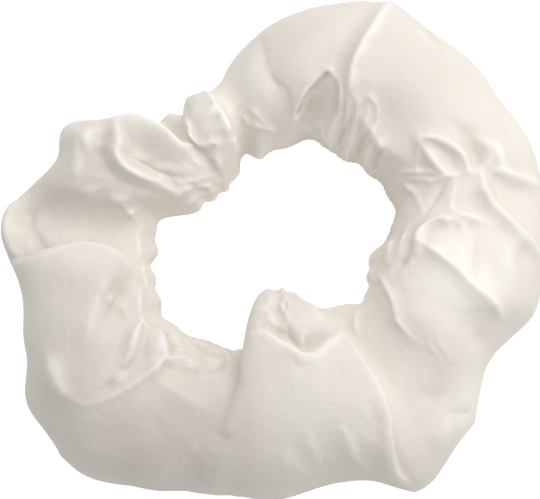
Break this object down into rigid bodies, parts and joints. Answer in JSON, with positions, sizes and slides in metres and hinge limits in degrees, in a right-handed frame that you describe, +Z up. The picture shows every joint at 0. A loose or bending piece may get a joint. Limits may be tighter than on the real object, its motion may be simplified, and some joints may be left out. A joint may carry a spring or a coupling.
{
  "type": "hair scrunchie",
  "caption": "Wide satin sleeve gathered on a hidden elastic ring, lying flat, that stretches round a ponytail or wrist and grips the hair.",
  "frame": {"origin": "under the middle of the ring's outline, on the surface that it lies on", "axes": "+Z up out of the surface, along the axis of the hair hole; +X to the right and +Y to the top of the picture, which looks almost straight down"},
  "size_m": [0.1156, 0.1054, 0.0316],
  "materials": {
    "satin": "ivory satin with a fine crosswise thread",
    "elastic": "matte braided elastic"
  },
  "bodies": {
    "root": {"sleeve": "satin", "elastic_ring": "elastic"}
  },
  "joints": []
}
